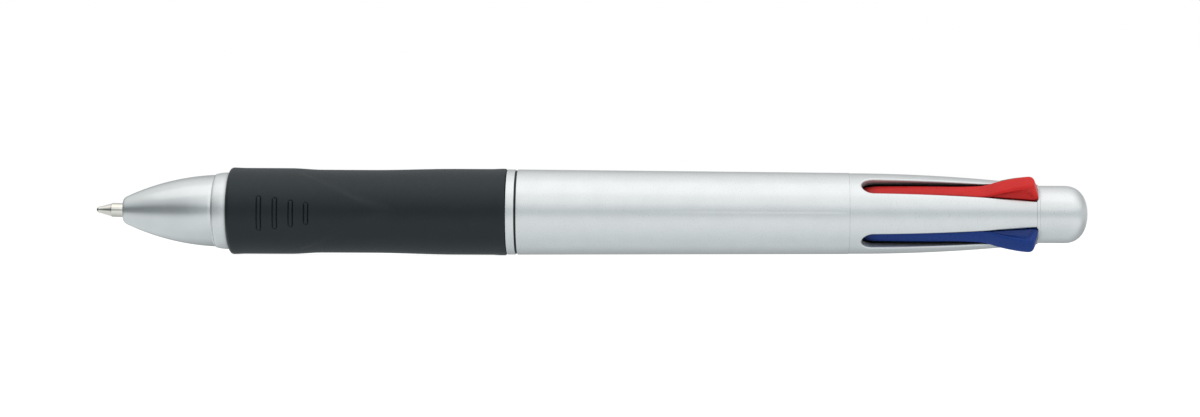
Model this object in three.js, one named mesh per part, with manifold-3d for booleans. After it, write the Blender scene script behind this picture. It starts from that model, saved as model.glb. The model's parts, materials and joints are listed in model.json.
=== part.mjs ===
// Multicolor click pen: a barrel in two halves, four sliders in a slotted housing and four sprung refills.
//
// The pen lies along X. The tip points to -X, the end cap to +X, and Z is up. Along the pen, places are
// given as stations in millimetres that grow from the nose to the end cap. The origin of the finished part
// is the centre of the flat crown of the end cap. The black refill is out and the other three are back.

import * as THREE from "three";
import { mergeVertices } from "three/addons/utils/BufferGeometryUtils.js";
import Module from "manifold-3d";

const wasm = await Module();
wasm.setup();

// ---------------------------------------------------------------- driving dimensions (millimetres)

const CROWN = 144.7; // station of the end cap's crown
const SIDES = 32; // facets around every round shell
const EDGE = 0.1; // broken edge of a moulded or turned part
const FIT = 0.05; // gap between two parts that are assembled end to end

// nose cone
const NOSE_START = 0.2;
const NOSE_HOLE = 1.25;
const NOSE_RIM = 1.85;
const NOSE_RIM_DEPTH = 0.27;
const OGIVE_RADIUS = 35; // radius of the arc that shapes the cone
const OGIVE_TOP = 15.5; // station where that arc runs parallel to the axis
const CONE_END = 13.95;
const CONE_END_RADIUS = 5.41;
const CONE_GROOVE = 0.08; // depth of the groove between the cone and the collar
const CONE_BORE = 4.05;
const CONE_BORE_START = 8.2;
const CONE_THROAT = [4.8, 3.15]; // station and radius where the bore's two tapers meet
const NOSE_LAND = 1.5; // length of the nose opening
const CONE_SPIGOT = 4.55;
const CONE_SPIGOT_END = 19;

// lower barrel, grip and seam
const COLLAR_START = 14.05;
const COLLAR_RADIUS = 5.77;
const COLLAR_FLARE = 1.1; // length over which the collar widens to its full radius
const GRIP_START = 16.25;
const GRIP_END = 57.7;
const GRIP_SEAT = 5.1; // radius of the tube under the grip
const GRIP_BORE = 5.25;
const GRIP_RADIUS = 6.44;
const GRIP_WAIST = 6.27;
const GRIP_LIP = 6.5;
const GRIP_ROUND = 0.5; // radius of the grip's front edge
const GRIP_WAIST_STATIONS = [25, 29, 37.5, 46]; // the waist narrows, stays narrow and widens again
const RING_END = 59;
const RING_RADIUS = 6.39;
const LOWER_BORE = 4.25;
const FRONT_BORE = 4.7;
const WASHER_START = 59.03;
const WASHER_END = 59.27;
const WASHER_RADIUS = 6.25;
const SPIGOT_END = 66;
const SPIGOT_RADIUS = 4.75;
const THREAD_PITCH = 1.5;
const THREAD_TURNS = 3;
const THREAD_HEIGHT = 0.26;

// raised bars on the grip
const BAR_STATIONS = [21.2, 23.57, 25.93, 28.2];
const BAR_LENGTHS = [5.2, 4.7, 3.95, 3.25];
const BAR_WIDTH = 0.75;
const BAR_TOP = 6.55;
const BAR_COLUMNS = 2; // columns of bars around the grip
const GRIP_TURN = 3.3; // degrees the grip is turned against the sliders, towards -Z at -Y

// upper barrel and rear housing
const BARREL_START = 59.3;
const BARREL_END = 108.9;
const BARREL_RADIUS = 6.4;
const BARREL_END_RADIUS = 6.1;
const BARREL_BORE = 5.2;
const COUNTERBORE = 5.55;
const COUNTERBORE_START = 104.6;
const HOUSING_START = 108.95;
const HOUSING_END = 136.8;
const HOUSING_RADIUS = 6.05;
const HOUSING_ARC = 251; // radius of the long arc of the housing's taper
const HOUSING_WALL = 1.05;
const HOUSING_SPIGOT = 5.45;
const HOUSING_BORE = 4.95;
const SLOT_START = 110.7;
const SLOT_WIDTH = 2.8;
const SLOT_NOSE = 1.8; // length of the rounded front end of a slot

// end cap and latch core
const CAP_START = 136.85;
const FLANGE_END = 137.35;
const FLANGE_RADIUS = 4.47;
const CAP_RADIUS = 4.3;
const CAP_SHOULDER = 141.2;
const CAP_POWER = 2.3; // exponent of the superellipse that rounds the cap
const CROWN_RADIUS = 1;
const CAP_BORE = 3.35;
const CAP_BORE_END = 141.6;
const CORE_RADIUS = 1.1;
const CORE_START = 104.8;
const CORE_CHAMFER = 0.4; // at the post's front end
const CORE_DISC = 3.2;
const CORE_DISC_START = 137.6;
const CORE_DISC_END = 139.4;
const FIN_THICKNESS = 0.7;
const FIN_GAP = 0.2; // between the fins and the housing's bore
const FIN_START = 105.6;

// refill guide
const GUIDE_START = 84;
const GUIDE_END = 86.2;
const GUIDE_RADIUS = 5.05;
const GUIDE_SLOT_RADIUS = 1.45;
const GUIDE_SLOT_IN = 2.2;
const GUIDE_SLOT_OUT = 2.95;

// sliders
const TRAVEL = 9;
const DROP = 0.5; // how far a slider sinks towards the axis over its travel
const SEAT_STATION = 103; // station of a refill's rear end when it is back
const SEAT_RADIUS = 3; // distance of that end from the pen's axis
const COLLAR_LENGTH = 1.3;
const SLIDER_COLLAR = 1.7;
const PLUG_RADIUS = 0.62;
const PLUG_LENGTH = 2.5;
const STEM_WIDTH = 2.1;
const STEM_BOTTOM = 2.45;
const STEM_NECK = 4.15; // top of the stem where it runs under the housing's front wall
const STEM_DEPTH = 1.15; // depth of the stem's top below the housing's surface, at the slot's front
const STEM_DEPTH_REAR = 0.5; // the same, in front of the bump
const STEM_END = 136.75;
const STEM_REAR = 4.1; // top of the stem at its rear end
const BUMP_WIDTH = 2.6;
const BUMP_ROOT = 3.2; // bottom of the wide part of the slider
const BUMP_OVERHANG = 4.62; // above this radius the bump reaches back over the cap's flange
// outline of the thumb bump, from its rear end over its top to its front, as station and radius
const BUMP_OUTLINE = [
  [137.05, BUMP_OVERHANG],
  [136.3, 6.35],
  [136.05, 6.8],
  [135.6, 7],
  [134, 6.8],
  [132.4, 6.35],
  [131.2, 5.9],
  [130.2, 5.42],
  [129.2, 4.98],
  [128.3, 4.7],
];

// refills, measured along the refill from the front of the ball
const TUBE_RADIUS = 1.2;
const TUBE_BORE = 0.8;
const TUBE_START = 10.05;
const PLUG_END = 14; // rear end of the point's plug in the tube
const PLUG_FIT_RADIUS = 0.72;
const REFILL_LENGTH = 97.95;
const POINT_SHOULDER = 2.25;
const POINT_FRONT = 0.24;
const POINT_RIM = 0.42;
const CONE_BASE = 0.93; // radius of the point's cone at its shoulder
const SHANK_RADIUS = 1.06;
const STOP_START = 9;
const STOP_RADIUS = 1.15;
const SOCKET_RADIUS = 0.37;
const SOCKET_DEPTH = 0.36;
const INK_CHANNEL = 0.2;
const INK_START = 14.3;
const INK_RADIUS = 0.7;
const INK_LENGTHS = { black: 52, red: 68, blue: 60, green: 74 };
const BALL_RADIUS = 0.34;
const BALL_CENTRE = 0.35;
const TIP_REST_RADIUS = 2.5; // distance of a retracted tip from the pen's axis
const AIM_STATION = 1; // an extended refill crosses the pen's axis here

// springs
const SPRING_RADIUS = 1.58;
const WIRE_RADIUS = 0.13;
const SPRING_TURNS = 9;
const SPRING_START = 86.45;

// turn of each slider around the pen's axis, in degrees from +Y towards +Z
const COLOURS = [
  { name: "red", turn: 135, out: false, paint: 0xd6322d },
  { name: "blue", turn: 225, out: false, paint: 0x213787 },
  { name: "black", turn: 315, out: true, paint: 0x1b1b1d },
  { name: "green", turn: 45, out: false, paint: 0x1d7a45 },
];

// ---------------------------------------------------------------- materials

const silver = { color: 0xc9cfd2, roughness: 0.38, metalness: 0.55 };
const steel = { color: 0xb9bcc0, roughness: 0.25, metalness: 1 };
const blackRubber = { color: 0x26272a, roughness: 0.75, metalness: 0 };
const clearPlastic = { color: 0xdfe3e2, roughness: 0.3, metalness: 0 };
const blackPlastic = { color: 0x1b1b1d, roughness: 0.5, metalness: 0 };

// ---------------------------------------------------------------- shape helpers

// Makes a closed geometry whose faces share their corners, with no faces of zero area.
function closed(geometry) {
  const bare = geometry.clone();
  bare.deleteAttribute("normal");
  bare.deleteAttribute("uv");
  const merged = mergeVertices(bare, 1e-4);
  const corners = merged.getIndex().array;
  const kept = [];
  for (let i = 0; i < corners.length; i += 3) {
    const [a, b, c] = corners.slice(i, i + 3);
    if (a !== b && b !== c && c !== a) kept.push(a, b, c);
  }
  merged.setIndex(kept);
  return merged;
}

function toSolid(geometry) {
  const shape = closed(geometry);
  return new wasm.Manifold(
    new wasm.Mesh({
      numProp: 3,
      vertProperties: new Float32Array(shape.getAttribute("position").array),
      triVerts: new Uint32Array(shape.getIndex().array),
    }),
  );
}

function toGeometry(solid) {
  const mesh = solid.getMesh();
  const geometry = new THREE.BufferGeometry();
  geometry.setAttribute("position", new THREE.BufferAttribute(mesh.vertProperties, 3));
  geometry.setIndex(new THREE.BufferAttribute(mesh.triVerts, 1));
  return geometry;
}

// Turns a profile of [station, radius] points around the pen's axis. The outside runs towards the rear.
function turned(profile, sides = SIDES) {
  const points = profile.map(([station, radius]) => new THREE.Vector2(radius, station));
  const geometry = new THREE.LatheGeometry(points, sides);
  return closed(geometry.rotateZ(-Math.PI / 2));
}

// A ring profile closes on itself: its outside, then its bore from the rear back to the front.
function ring(outside, bore) {
  return [...outside, ...bore, outside[0]];
}

function curvePoints(from, to, count, radiusAt) {
  return Array.from({ length: count + 1 }, (_, i) => {
    const station = from + ((to - from) * i) / count;
    return [station, radiusAt(station)];
  });
}

function named(name, geometry, look) {
  const mesh = new THREE.Mesh(geometry, new THREE.MeshStandardMaterial(look));
  mesh.name = name;
  return mesh;
}

// ---------------------------------------------------------------- barrel shells

const ogive = (station) =>
  CONE_END_RADIUS - OGIVE_RADIUS + Math.sqrt(OGIVE_RADIUS ** 2 - (station - OGIVE_TOP) ** 2);

const housingRadius = (station) => HOUSING_RADIUS - (station - BARREL_END) ** 2 / (2 * HOUSING_ARC);

const housingBore = (station) => Math.min(HOUSING_BORE, housingRadius(station) - HOUSING_WALL);

function noseCone() {
  const outside = [
    [NOSE_START, NOSE_HOLE],
    [NOSE_START + NOSE_RIM_DEPTH / 4, NOSE_RIM - EDGE],
    [NOSE_START + NOSE_RIM_DEPTH, NOSE_RIM + EDGE],
    ...curvePoints(NOSE_LAND / 2, CONE_END - CONE_GROOVE, 10, ogive),
    [CONE_END, CONE_END_RADIUS - CONE_GROOVE],
    [CONE_END, CONE_SPIGOT],
    [CONE_SPIGOT_END, CONE_SPIGOT],
  ];
  const bore = [
    [CONE_SPIGOT_END, CONE_BORE],
    [CONE_BORE_START, CONE_BORE],
    CONE_THROAT,
    [NOSE_LAND, NOSE_HOLE],
  ];
  return named("nose_cone", turned(ring(outside, bore)), { ...silver, metalness: 0.9 });
}

// A helix around the pen's axis. It is a right-handed screw.
class Helix extends THREE.Curve {
  constructor(radius, pitch, turns, start) {
    super();
    Object.assign(this, { radius, pitch, turns, start });
  }
  getPoint(t, target = new THREE.Vector3()) {
    const angle = 2 * Math.PI * this.turns * t;
    const station = this.start + this.pitch * this.turns * t;
    return target.set(station, this.radius * Math.cos(angle), this.radius * Math.sin(angle));
  }
}

function sweptWire(path, radius, sides, stepsPerTurn) {
  const section = new THREE.Shape();
  for (let i = 0; i < sides; i += 1) {
    const angle = (2 * Math.PI * i) / sides;
    const corner = [radius * Math.cos(angle), radius * Math.sin(angle)];
    if (i === 0) section.moveTo(...corner);
    else section.lineTo(...corner);
  }
  section.closePath();
  const steps = Math.round(stepsPerTurn * path.turns);
  return closed(new THREE.ExtrudeGeometry(section, { steps, extrudePath: path, bevelEnabled: false }));
}

function lowerBarrel() {
  const outside = [
    [COLLAR_START, CONE_END_RADIUS - CONE_GROOVE],
    [COLLAR_START + COLLAR_FLARE / 2, COLLAR_RADIUS - 2 * EDGE],
    [COLLAR_START + COLLAR_FLARE, COLLAR_RADIUS],
    [GRIP_START - FIT, COLLAR_RADIUS],
    [GRIP_START - FIT, GRIP_SEAT],
    [GRIP_END + FIT, GRIP_SEAT],
    [GRIP_END + FIT, RING_RADIUS - EDGE],
    [GRIP_END + FIT + EDGE, RING_RADIUS],
    [RING_END - EDGE, RING_RADIUS],
    [RING_END, RING_RADIUS - EDGE],
    [RING_END, SPIGOT_RADIUS],
    [SPIGOT_END - 2 * EDGE, SPIGOT_RADIUS],
    [SPIGOT_END, SPIGOT_RADIUS - 2 * EDGE],
  ];
  const shoulder = CONE_SPIGOT_END + 4 * FIT;
  const bore = [
    [SPIGOT_END, LOWER_BORE],
    [shoulder, LOWER_BORE],
    [shoulder, FRONT_BORE],
    [COLLAR_START, FRONT_BORE],
  ];
  const threadStart = RING_END + THREAD_PITCH * 0.75;
  const helix = new Helix(SPIGOT_RADIUS, THREAD_PITCH, THREAD_TURNS, threadStart);
  const thread = toSolid(sweptWire(helix, THREAD_HEIGHT, 4, 20));
  const barrel = toSolid(turned(ring(outside, bore))).add(thread);
  return named("lower_barrel", toGeometry(barrel), silver);
}

// The outline of a bar or a slot with round ends, long along its own x axis.
function stadium(length, width) {
  const half = length / 2 - width / 2;
  const shape = new THREE.Shape();
  shape.absarc(half, 0, width / 2, -Math.PI / 2, Math.PI / 2);
  shape.absarc(-half, 0, width / 2, Math.PI / 2, (3 * Math.PI) / 2);
  shape.closePath();
  return shape;
}

// A raised bar lies across the pen and stands out along -Y, before it is turned around the axis.
// Its top follows the round of the grip.
function gripBar(station, length, turn) {
  const options = { depth: BAR_TOP, bevelEnabled: false, curveSegments: 4 };
  const bar = new THREE.ExtrudeGeometry(stadium(length, BAR_WIDTH), options);
  bar.rotateX(Math.PI / 2).rotateY(Math.PI / 2).translate(station, 0, 0).rotateX(turn);
  const root = (GRIP_BORE + GRIP_WAIST) / 2;
  const outside = [
    [station - BAR_WIDTH, BAR_TOP],
    [station + BAR_WIDTH, BAR_TOP],
  ];
  const inside = [
    [station + BAR_WIDTH, root],
    [station - BAR_WIDTH, root],
  ];
  return toSolid(turned(ring(outside, inside))).intersect(toSolid(bar));
}

function gripSleeve() {
  const [narrowing, narrow, widening, wide] = GRIP_WAIST_STATIONS;
  const outside = [
    [GRIP_START, GRIP_LIP - GRIP_ROUND],
    [GRIP_START + GRIP_ROUND * 0.3, GRIP_LIP - GRIP_ROUND * 0.3],
    [GRIP_START + GRIP_ROUND, GRIP_LIP],
    [GRIP_START + 3 * GRIP_ROUND, GRIP_RADIUS],
    [narrowing, GRIP_RADIUS],
    [narrow, GRIP_WAIST],
    [widening, GRIP_WAIST],
    [wide, GRIP_RADIUS],
    [GRIP_END - 3 * GRIP_ROUND, GRIP_RADIUS],
    [GRIP_END - GRIP_ROUND, GRIP_LIP],
    [GRIP_END - EDGE, GRIP_LIP - EDGE],
    [GRIP_END, GRIP_LIP - 3 * EDGE],
  ];
  const bore = [
    [GRIP_END, GRIP_BORE],
    [GRIP_START, GRIP_BORE],
  ];
  let grip = toSolid(turned(ring(outside, bore)));
  for (let column = 0; column < BAR_COLUMNS; column += 1) {
    const turn = (2 * Math.PI * column) / BAR_COLUMNS + THREE.MathUtils.degToRad(GRIP_TURN);
    BAR_STATIONS.forEach((station, i) => {
      grip = grip.add(gripBar(station, BAR_LENGTHS[i], turn));
    });
  }
  return named("grip_sleeve", toGeometry(grip), blackRubber);
}

function seamWasher() {
  const outside = [
    [WASHER_START, WASHER_RADIUS],
    [WASHER_END, WASHER_RADIUS],
  ];
  const bore = [
    [WASHER_END, SPIGOT_RADIUS + EDGE],
    [WASHER_START, SPIGOT_RADIUS + EDGE],
  ];
  return named("seam_washer", turned(ring(outside, bore)), blackRubber);
}

function upperBarrel() {
  const outside = [
    [BARREL_START, BARREL_RADIUS - EDGE],
    [BARREL_START + EDGE, BARREL_RADIUS],
    [BARREL_END - EDGE / 2, BARREL_END_RADIUS],
    [BARREL_END, BARREL_END_RADIUS - EDGE / 2],
  ];
  const bore = [
    [BARREL_END, COUNTERBORE],
    [COUNTERBORE_START, COUNTERBORE],
    [COUNTERBORE_START, BARREL_BORE],
    [BARREL_START, BARREL_BORE],
  ];
  return named("upper_barrel", turned(ring(outside, bore)), silver);
}

// ---------------------------------------------------------------- rear housing, cap and core

// The slot is open at the rear. Its front end is half an ellipse.
function slotCutter(turn) {
  const half = SLOT_WIDTH / 2;
  const shape = new THREE.Shape();
  shape.moveTo(HOUSING_END + 1, -half);
  shape.lineTo(HOUSING_END + 1, half);
  shape.lineTo(SLOT_START + SLOT_NOSE, half);
  shape.absellipse(SLOT_START + SLOT_NOSE, 0, SLOT_NOSE, half, Math.PI / 2, (3 * Math.PI) / 2);
  shape.closePath();
  const options = { depth: HOUSING_RADIUS, bevelEnabled: false, curveSegments: 10 };
  const cutter = new THREE.ExtrudeGeometry(shape, options);
  cutter.translate(0, 0, CORE_RADIUS * 2).rotateX(turn - Math.PI / 2);
  return toSolid(cutter);
}

function rearHousing() {
  const spigotStart = COUNTERBORE_START + 4 * FIT;
  const outside = [
    [spigotStart, HOUSING_SPIGOT],
    [HOUSING_START, HOUSING_SPIGOT],
    [HOUSING_START, HOUSING_RADIUS - EDGE / 2],
    ...curvePoints(HOUSING_START + EDGE / 2, HOUSING_END - EDGE, 9, housingRadius),
    [HOUSING_END, housingRadius(HOUSING_END) - EDGE],
  ];
  const bore = [
    ...curvePoints(HOUSING_END, SLOT_START + SLOT_NOSE, 6, housingBore),
    [spigotStart, HOUSING_BORE],
  ];
  let housing = toSolid(turned(ring(outside, bore)));
  for (const { turn } of COLOURS) {
    housing = housing.subtract(slotCutter(THREE.MathUtils.degToRad(turn)));
  }
  return named("rear_housing", toGeometry(housing), silver);
}

function endCap() {
  const depth = (CROWN - CAP_SHOULDER) / (1 - (CROWN_RADIUS / CAP_RADIUS) ** CAP_POWER) ** (1 / CAP_POWER);
  const rounded = (angle) => [
    CAP_SHOULDER + depth * Math.sin(angle) ** (2 / CAP_POWER),
    CAP_RADIUS * Math.cos(angle) ** (2 / CAP_POWER),
  ];
  const lastAngle = Math.acos((CROWN_RADIUS / CAP_RADIUS) ** (CAP_POWER / 2));
  const steps = 9;
  const crown = Array.from({ length: steps + 1 }, (_, i) => rounded((lastAngle * i) / steps));
  const profile = [
    [CAP_BORE_END, 0],
    [CAP_BORE_END, CAP_BORE],
    [CAP_START, CAP_BORE],
    [CAP_START, FLANGE_RADIUS - EDGE / 2],
    [CAP_START + EDGE / 2, FLANGE_RADIUS],
    [FLANGE_END, FLANGE_RADIUS],
    [FLANGE_END + EDGE / 2, CAP_RADIUS],
    ...crown,
    [CROWN, 0],
  ];
  return named("end_cap", turned(profile), silver);
}

// Post with a disc that plugs into the cap, and four fins that keep the sliders apart. The fins follow
// the housing's bore, so that the slots don't show through the pen.
function latchCore() {
  const post = turned(
    [
      [CORE_START, 0],
      [CORE_START, CORE_RADIUS - CORE_CHAMFER],
      [CORE_START + CORE_CHAMFER, CORE_RADIUS],
      [CORE_DISC_START, CORE_RADIUS],
      [CORE_DISC_START, CORE_DISC],
      [CORE_DISC_END, CORE_DISC],
      [CORE_DISC_END, 0],
    ],
    24,
  );
  const finEnd = (CORE_DISC_START + CORE_DISC_END) / 2;
  const edge = [
    ...curvePoints(FIN_START, HOUSING_END, 8, (station) => housingBore(station) - FIN_GAP),
    [CORE_DISC_START, CAP_BORE - FIN_GAP],
    [finEnd, CAP_BORE - FIN_GAP],
  ];
  const mirrored = edge.map(([station, reach]) => [station, -reach]).reverse();
  const fin = sideProfile([...edge, ...mirrored], FIN_THICKNESS);
  const core = toSolid(post).add(fin).add(fin.rotate([90, 0, 0]));
  return named("latch_core", toGeometry(core), blackPlastic);
}

// ---------------------------------------------------------------- refill guide

function refillGuide() {
  const disc = new THREE.Shape();
  disc.absarc(0, 0, GUIDE_RADIUS, 0, 2 * Math.PI);
  const middle = (GUIDE_SLOT_IN + GUIDE_SLOT_OUT) / 2;
  const length = GUIDE_SLOT_OUT - GUIDE_SLOT_IN + 2 * GUIDE_SLOT_RADIUS;
  for (const { turn } of COLOURS) {
    const angle = THREE.MathUtils.degToRad(turn);
    const outline = stadium(length, 2 * GUIDE_SLOT_RADIUS).getPoints(7);
    const placed = outline.map((p) =>
      new THREE.Vector2(p.x + middle, p.y).rotateAround(new THREE.Vector2(), angle),
    );
    disc.holes.push(new THREE.Path(placed));
  }
  const options = { depth: GUIDE_END - GUIDE_START, bevelEnabled: false, curveSegments: 16 };
  const guide = new THREE.ExtrudeGeometry(disc, options);
  // the shape's x and y become the pen's y and z
  guide.applyMatrix4(new THREE.Matrix4().set(0, 0, 1, GUIDE_START, 1, 0, 0, 0, 0, 1, 0, 0, 0, 0, 0, 1));
  return named("refill_guide", closed(guide), blackPlastic);
}

// ---------------------------------------------------------------- sliders, drawn in the retracted place

// A slider is drawn in its own plane: station along x, distance from the pen's axis along y.
function sideProfile(points, width) {
  const shape = new THREE.Shape(points.map(([station, radius]) => new THREE.Vector2(station, radius)));
  const plate = new THREE.ExtrudeGeometry(shape, { depth: width, bevelEnabled: false });
  plate.translate(0, 0, -width / 2);
  return toSolid(plate);
}

function sliderShape() {
  const stemStart = SEAT_STATION + COLLAR_LENGTH / 2;
  const [front] = BUMP_OUTLINE.at(-1);
  const slotFull = SLOT_START + SLOT_NOSE;
  const stemTop = (station) => {
    const part = (station - slotFull) / (front - slotFull);
    return housingRadius(station) - THREE.MathUtils.lerp(STEM_DEPTH, STEM_DEPTH_REAR, part);
  };
  const stem = sideProfile(
    [
      [stemStart, STEM_BOTTOM],
      [STEM_END, STEM_BOTTOM],
      [STEM_END, STEM_REAR],
      ...curvePoints(front, slotFull, 5, stemTop),
      [SLOT_START - SLOT_NOSE, STEM_NECK],
      [stemStart, STEM_NECK],
    ],
    STEM_WIDTH,
  );
  const underside = [
    [front, BUMP_ROOT],
    [STEM_END, BUMP_ROOT],
    [STEM_END, BUMP_OVERHANG],
  ];
  const bump = sideProfile([...underside, ...BUMP_OUTLINE], BUMP_WIDTH);
  const round = turned(
    [
      [SEAT_STATION - PLUG_LENGTH, 0],
      [SEAT_STATION - PLUG_LENGTH, PLUG_RADIUS],
      [SEAT_STATION + FIT, PLUG_RADIUS],
      [SEAT_STATION + FIT, SLIDER_COLLAR],
      [SEAT_STATION + COLLAR_LENGTH, SLIDER_COLLAR],
      [SEAT_STATION + COLLAR_LENGTH, 0],
    ],
    20,
  ).translate(0, SEAT_RADIUS, 0);
  return toGeometry(stem.add(bump).add(toSolid(round)));
}

// ---------------------------------------------------------------- refills, drawn along x from the ball

function refillPoint() {
  const outside = [
    [POINT_FRONT, POINT_RIM],
    [POINT_SHOULDER, CONE_BASE],
    [POINT_SHOULDER, SHANK_RADIUS],
    [STOP_START, SHANK_RADIUS],
    [STOP_START, STOP_RADIUS],
    [TUBE_START - FIT, STOP_RADIUS],
    [TUBE_START - FIT, PLUG_FIT_RADIUS],
    [PLUG_END, PLUG_FIT_RADIUS],
  ];
  const bore = [
    [PLUG_END, INK_CHANNEL],
    [POINT_FRONT + 2 * SOCKET_DEPTH, INK_CHANNEL],
    [POINT_FRONT + SOCKET_DEPTH, SOCKET_RADIUS],
    [POINT_FRONT, SOCKET_RADIUS],
  ];
  return turned(ring(outside, bore), 12);
}

function refillTube() {
  const outside = [
    [TUBE_START, TUBE_RADIUS],
    [REFILL_LENGTH, TUBE_RADIUS],
  ];
  const bore = [
    [REFILL_LENGTH, TUBE_BORE],
    [TUBE_START, TUBE_BORE],
  ];
  return turned(ring(outside, bore), 12);
}

function inkColumn(length) {
  const end = INK_START + length;
  const profile = [
    [INK_START, 0],
    [INK_START, INK_RADIUS],
    [end - INK_RADIUS / 2, INK_RADIUS],
    [end, INK_RADIUS / 2],
    [end, 0],
  ];
  return turned(profile, 10);
}

function springShape(length) {
  const reach = length - 2 * WIRE_RADIUS;
  const helix = new Helix(SPRING_RADIUS, reach / SPRING_TURNS, SPRING_TURNS, WIRE_RADIUS);
  return sweptWire(helix, WIRE_RADIUS, 4, 10);
}

// ---------------------------------------------------------------- one colour: slider, refill and spring

// The slider and its refill stand in the plane of the slot. A refill out of the nose has moved forwards
// by the travel, dropped with its slider, and tilted so that its tip passes through the nose opening.
function colourSet({ name, turn, out, paint }) {
  const set = new THREE.Group();
  set.rotation.x = THREE.MathUtils.degToRad(turn);

  const forward = out ? TRAVEL : 0;
  const drop = out ? DROP : 0;
  const seatStation = SEAT_STATION - forward;
  const seatRadius = SEAT_RADIUS - drop;

  const slider = named(`${name}_slider`, sliderShape(), { color: paint, roughness: 0.32, metalness: 0 });
  slider.position.set(-forward, -drop, 0);
  set.add(slider);

  const tilt = out
    ? Math.atan2(seatRadius, seatStation - AIM_STATION)
    : Math.atan2(SEAT_RADIUS - TIP_REST_RADIUS, REFILL_LENGTH);
  const refill = new THREE.Group();
  refill.position.set(seatStation, seatRadius, 0);
  refill.rotation.z = tilt;
  set.add(refill);

  const body = new THREE.Group();
  body.position.x = -REFILL_LENGTH;
  refill.add(body);
  body.add(named(`${name}_refill_tube`, refillTube(), clearPlastic));
  body.add(named(`${name}_refill_point`, refillPoint(), steel));
  const ink = inkColumn(INK_LENGTHS[name]);
  body.add(named(`${name}_ink_column`, ink, { color: paint, roughness: 0.3, metalness: 0 }));
  const ball = named(`${name}_writing_ball`, closed(new THREE.SphereGeometry(BALL_RADIUS, 8, 6)), steel);
  ball.position.x = BALL_CENTRE;
  body.add(ball);

  const springLength = seatStation - EDGE - SPRING_START;
  const spring = named(`${name}_return_spring`, springShape(springLength), steel);
  spring.position.x = -EDGE - springLength;
  refill.add(spring);
  return set;
}

// ---------------------------------------------------------------- assembly

const stations = new THREE.Group();
stations.position.x = -CROWN;
stations.add(noseCone(), lowerBarrel(), gripSleeve(), seamWasher(), upperBarrel());
stations.add(rearHousing(), endCap(), latchCore(), refillGuide());
for (const colour of COLOURS) stations.add(colourSet(colour));

const pen = new THREE.Group();
pen.add(stations);

export default pen;
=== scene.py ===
"""Looks of the multicolor click pen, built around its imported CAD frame.

Shapes are written in millimetres: the station along the pen, then two directions across it.
They are placed from the CAD nodes' boxes and from the joints of the record.
"""

import json
import math

import bmesh
import bpy
import numpy as np
from mathutils import Matrix, Vector
from mathutils.geometry import tessellate_polygon

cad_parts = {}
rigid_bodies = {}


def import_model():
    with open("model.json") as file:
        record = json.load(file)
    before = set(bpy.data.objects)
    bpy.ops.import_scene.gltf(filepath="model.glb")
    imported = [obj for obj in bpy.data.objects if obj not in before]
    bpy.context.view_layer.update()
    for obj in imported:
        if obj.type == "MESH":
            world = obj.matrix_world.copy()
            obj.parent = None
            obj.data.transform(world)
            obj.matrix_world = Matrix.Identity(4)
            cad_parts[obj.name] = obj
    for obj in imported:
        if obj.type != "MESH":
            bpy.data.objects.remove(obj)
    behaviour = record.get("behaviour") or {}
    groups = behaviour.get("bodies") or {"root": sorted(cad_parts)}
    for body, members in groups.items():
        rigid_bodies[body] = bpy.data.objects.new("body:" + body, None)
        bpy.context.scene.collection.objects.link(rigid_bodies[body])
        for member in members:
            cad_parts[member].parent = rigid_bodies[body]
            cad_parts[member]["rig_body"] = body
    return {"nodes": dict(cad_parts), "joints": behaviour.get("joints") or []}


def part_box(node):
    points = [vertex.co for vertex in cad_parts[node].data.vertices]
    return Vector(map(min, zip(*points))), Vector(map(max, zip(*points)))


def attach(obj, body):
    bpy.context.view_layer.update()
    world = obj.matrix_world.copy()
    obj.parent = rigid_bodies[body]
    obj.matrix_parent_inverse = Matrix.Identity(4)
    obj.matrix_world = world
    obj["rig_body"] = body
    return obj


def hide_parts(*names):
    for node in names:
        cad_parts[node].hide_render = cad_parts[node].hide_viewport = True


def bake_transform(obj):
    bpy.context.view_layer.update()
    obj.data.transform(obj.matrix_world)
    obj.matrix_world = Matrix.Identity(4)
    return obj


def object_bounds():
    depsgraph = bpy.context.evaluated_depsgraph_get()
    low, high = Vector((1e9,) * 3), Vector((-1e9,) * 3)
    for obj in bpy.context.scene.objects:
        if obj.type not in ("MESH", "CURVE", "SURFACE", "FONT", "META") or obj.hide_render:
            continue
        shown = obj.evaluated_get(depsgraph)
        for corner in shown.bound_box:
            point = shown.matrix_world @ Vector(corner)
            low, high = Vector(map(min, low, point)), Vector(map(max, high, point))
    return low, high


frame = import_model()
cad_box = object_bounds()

MM = 0.001
COLOURS = ("red", "blue", "black", "green")
JOINTS = {joint["name"]: joint for joint in frame["joints"]}
NOSE_START = 0.2  # station of the nose opening
NOSE = Vector((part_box("nose_cone")[0].x - NOSE_START * MM, 0, 0))  # station 0

# housing and slots
HOUSING_FRONT = 6.05  # radius beside the barrel
HOUSING_ARC = 502  # the radius falls by the square of the distance from there, over this number
HOUSING_WALL = 1.05
HOUSING_BORE = 4.95
SLOT_START = 110.7
SLOT_NOSE = 1.8
SLOT_HALF = 1.4
SLOT_RIM = 0.26

# grip
BARS = ((21.2, 5.1), (23.57, 4.6), (25.93, 3.85), (28.2, 3.15))  # station and length
BAR_WIDTH = 0.5
BAR_ANGLES = (math.radians(3.3), math.radians(183.3))

# refills
REFILL_LENGTH = 97.95
BALL_CENTRE = 0.35
INK_LENGTHS = {"black": 52, "red": 68, "blue": 60, "green": 74}


# ---------------------------------------------------------------- places

def span(node):
    """Front station, rear station and largest radius of a CAD node, in millimetres."""
    low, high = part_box(node)
    radius = max(-low.y, high.y, -low.z, high.z)
    return (low.x - NOSE.x) / MM, (high.x - NOSE.x) / MM, radius / MM


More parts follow.
